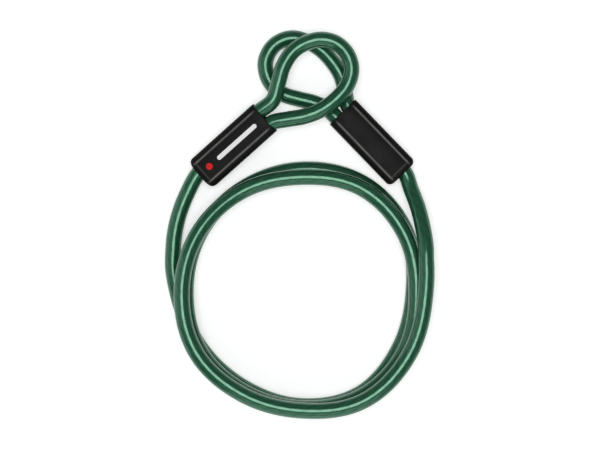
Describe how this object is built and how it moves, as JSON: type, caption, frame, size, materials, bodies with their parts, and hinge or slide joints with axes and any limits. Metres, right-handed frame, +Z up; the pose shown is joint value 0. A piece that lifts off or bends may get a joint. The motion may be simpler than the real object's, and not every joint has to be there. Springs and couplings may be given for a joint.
{
  "type": "double loop security cable",
  "caption": "Coiled steel security cable in a green plastic jacket, with an eye at each end for a padlock or D-lock shackle and a black sleeve over each crimp.",
  "frame": {"origin": "under the middle of the whole coiled cable, on the surface that it lies on", "axes": "+Z up out of the surface, +Y from the coil towards the two eyes, +X from the left sleeve towards the right one"},
  "size_m": [0.1921, 0.2766, 0.0352],
  "materials": {
    "jacket_green": "clear green PVC, gloss",
    "rope_steel": "galvanised wire rope",
    "ferrule_aluminium": "crimped",
    "sleeve_black": "satin"
  },
  "bodies": {
    "coil": {"jacket_coil": "jacket_green", "rope_coil": "rope_steel"},
    "end_a": {"jacket_lead_a": "jacket_green", "rope_lead_a": "rope_steel", "rope_eye_a": "rope_steel", "jacket_eye_a": "jacket_green", "sleeve_a": "sleeve_black", "ferrule_a": "ferrule_aluminium"},
    "end_b": {"jacket_lead_b": "jacket_green", "rope_lead_b": "rope_steel", "rope_eye_b": "rope_steel", "jacket_eye_b": "jacket_green", "sleeve_b": "sleeve_black", "ferrule_b": "ferrule_aluminium"}
  },
  "joints": [
    {"name": "end_a_swing", "type": "hinge", "parent": "coil", "child": "end_a", "pos_m": [-0.0884, 0.0034, 0], "axis": [0, 0, 1], "range_deg": [0, 40], "stiffness_Nm_per_rad": 0.8, "deforming": ["jacket_lead_a", "rope_lead_a"]},
    {"name": "end_b_swing", "type": "hinge", "parent": "coil", "child": "end_b", "pos_m": [0.0876, 0.0001, 0], "axis": [0, 0, -1], "range_deg": [0, 40], "stiffness_Nm_per_rad": 0.8, "deforming": ["jacket_lead_b", "rope_lead_b"]}
  ]
}
